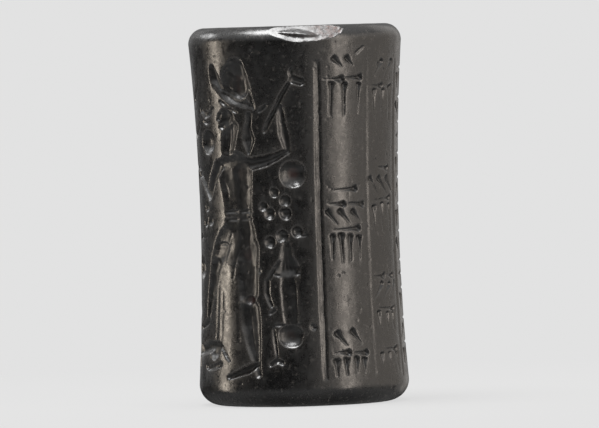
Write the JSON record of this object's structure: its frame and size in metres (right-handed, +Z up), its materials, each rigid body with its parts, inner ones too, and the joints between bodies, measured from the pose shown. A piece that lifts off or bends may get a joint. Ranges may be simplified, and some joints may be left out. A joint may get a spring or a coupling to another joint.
{
  "type": "cylinder seal",
  "caption": "Waisted cylinder of dark polished stone with a lengthwise bore, carved all round with a frieze of figures and columns of short strokes, standing on one end.",
  "frame": {"origin": "centre of the lower end face, on the axis of the bore", "axes": "+Z up along the axis of the seal; -Y is the front, with the line that closes the columns of strokes 12 degrees to its right"},
  "size_m": [0.0152, 0.0152, 0.027],
  "materials": {
    "haematite": "polished"
  },
  "bodies": {
    "root": {"cylinder_seal": "haematite"}
  },
  "joints": []
}
